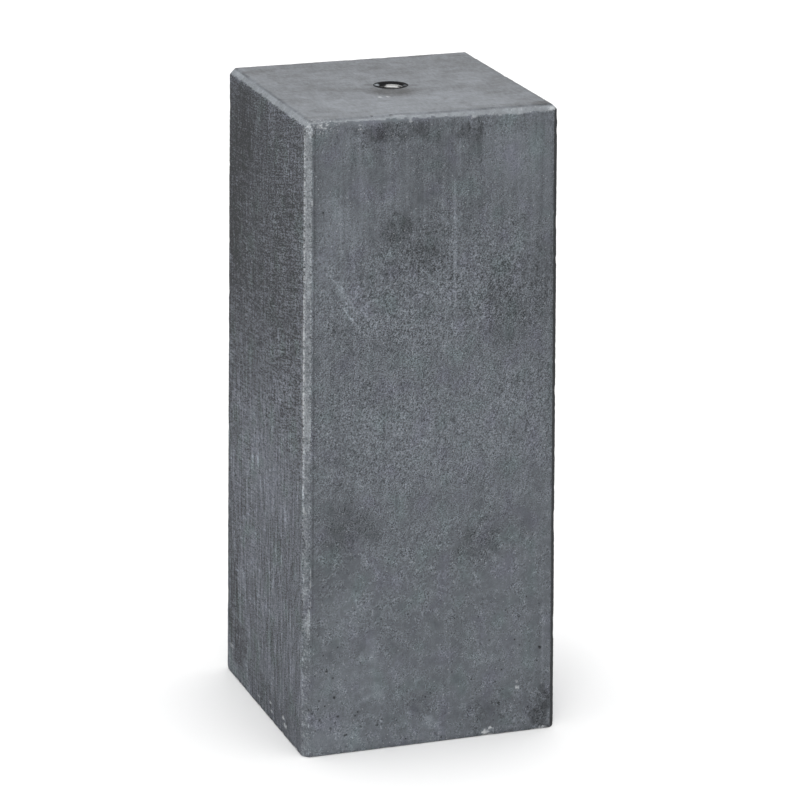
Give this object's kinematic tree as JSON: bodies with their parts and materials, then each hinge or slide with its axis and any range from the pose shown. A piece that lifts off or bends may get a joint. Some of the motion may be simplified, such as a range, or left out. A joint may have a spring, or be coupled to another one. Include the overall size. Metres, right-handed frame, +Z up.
{
  "type": "concrete deck pier block",
  "caption": "Square precast concrete pier with a slightly wider foot, chamfered edges and an M20 threaded steel socket cast into the centre of its top.",
  "frame": {"origin": "centre of the foot, on the ground", "axes": "+Z up along the block to the socket's mouth; the front face, the one seen widest in the picture, looks towards -Y"},
  "size_m": [0.208, 0.208, 0.5],
  "materials": {
    "concrete": "anthracite-grey precast concrete, smooth off the mould, matt, with light bloom, fine pores and scuffs",
    "socket_steel": "zinc-plated turned steel, its rim dulled by cement",
    "bar_steel": "plain mild steel bar, as rolled"
  },
  "bodies": {
    "root": {"pier_block": "concrete", "threaded_socket": "socket_steel", "anchor_pin": "bar_steel"}
  },
  "joints": []
}
